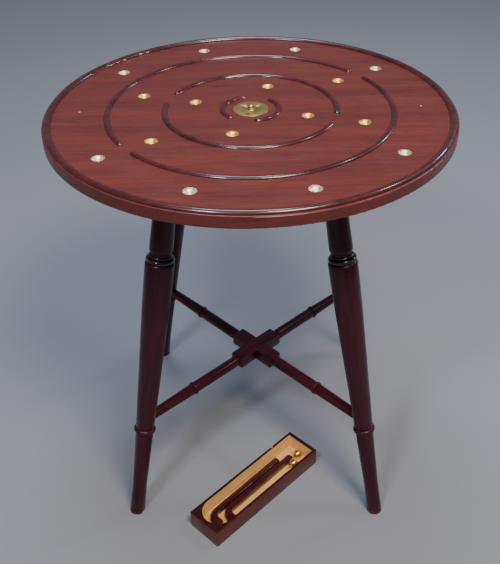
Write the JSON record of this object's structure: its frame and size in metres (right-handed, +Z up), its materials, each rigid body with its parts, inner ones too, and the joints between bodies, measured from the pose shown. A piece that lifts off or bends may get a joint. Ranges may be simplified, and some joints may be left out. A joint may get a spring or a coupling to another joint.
{
  "type": "games table",
  "caption": "Round turned-leg parlour games table with raised ring beads, inlaid metal cups and a box of strikers and balls.",
  "frame": {"origin": "on the floor under the middle of the round top", "axes": "+Z up; -Y towards the viewer's side, where the striker box lies; the start spots are on the X axis and the legs 1.9 degrees clockwise of the diagonals, seen from above"},
  "size_m": [0.61, 0.61, 0.6704],
  "materials": {
    "mahogany_board": "polished",
    "mahogany_bead": "polished",
    "mahogany_leg": "polished",
    "ebonised": "polished",
    "brass": "polished",
    "white_metal": "polished",
    "steel": "satin",
    "box_wood": "satin",
    "striker_wood": "satin"
  },
  "bodies": {
    "table": {"top_board": "mahogany_board", "rim_bead": "mahogany_bead", "centre_plate": "brass", "centre_stud": "brass", "plate_screws": "brass", "ring_outer_1": "mahogany_bead", "ring_outer_2": "mahogany_bead", "ring_middle_1": "mahogany_bead", "ring_middle_2": "mahogany_bead", "ring_inner_1": "mahogany_bead", "ring_inner_2": "mahogany_bead", "cup_outer_1": "white_metal", "cup_outer_2": "white_metal", "cup_outer_3": "white_metal", "cup_outer_4": "white_metal", "cup_outer_5": "white_metal", "cup_outer_6": "white_metal", "cup_outer_7": "white_metal", "cup_outer_8": "white_metal", "cup_middle_1": "brass", "cup_middle_2": "brass", "cup_middle_3": "brass", "cup_middle_4": "brass", "cup_inner_1": "brass", "cup_inner_2": "brass", "cup_inner_3": "brass", "cup_inner_4": "brass", "start_spot_left": "brass", "batten_left": "mahogany_leg", "start_spot_right": "brass", "batten_right": "mahogany_leg", "batten_screws": "steel", "leg_lower_back_right": "mahogany_leg", "leg_collar_back_right": "ebonised", "leg_upper_back_right": "mahogany_leg", "leg_lower_back_left": "mahogany_leg", "leg_collar_back_left": "ebonised", "leg_upper_back_left": "mahogany_leg", "leg_lower_front_left": "mahogany_leg", "leg_collar_front_left": "ebonised", "leg_upper_front_left": "mahogany_leg", "leg_lower_front_right": "mahogany_leg", "leg_collar_front_right": "ebonised", "leg_upper_front_right": "mahogany_leg", "cross_rail_over": "mahogany_leg", "cross_rail_under": "mahogany_leg"},
    "box": {"striker_box": "box_wood"},
    "striker_one": {"striker_1": "striker_wood"},
    "striker_two": {"striker_2": "striker_wood"},
    "ball_one": {"ball_1": "brass"},
    "ball_two": {"ball_2": "brass"}
  },
  "joints": [
    {"name": "box_lift", "type": "slide", "parent": "table", "child": "box", "axis": [0, 0, 1], "range_m": [0, 0.1]},
    {"name": "striker_one_lift", "type": "slide", "parent": "box", "child": "striker_one", "axis": [0, 0, 1], "range_m": [0, 0.05]},
    {"name": "striker_two_lift", "type": "slide", "parent": "box", "child": "striker_two", "axis": [0, 0, 1], "range_m": [0, 0.05]},
    {"name": "ball_one_lift", "type": "slide", "parent": "box", "child": "ball_one", "axis": [0, 0, 1], "range_m": [0, 0.05]},
    {"name": "ball_two_lift", "type": "slide", "parent": "box", "child": "ball_two", "axis": [0, 0, 1], "range_m": [0, 0.05]}
  ]
}
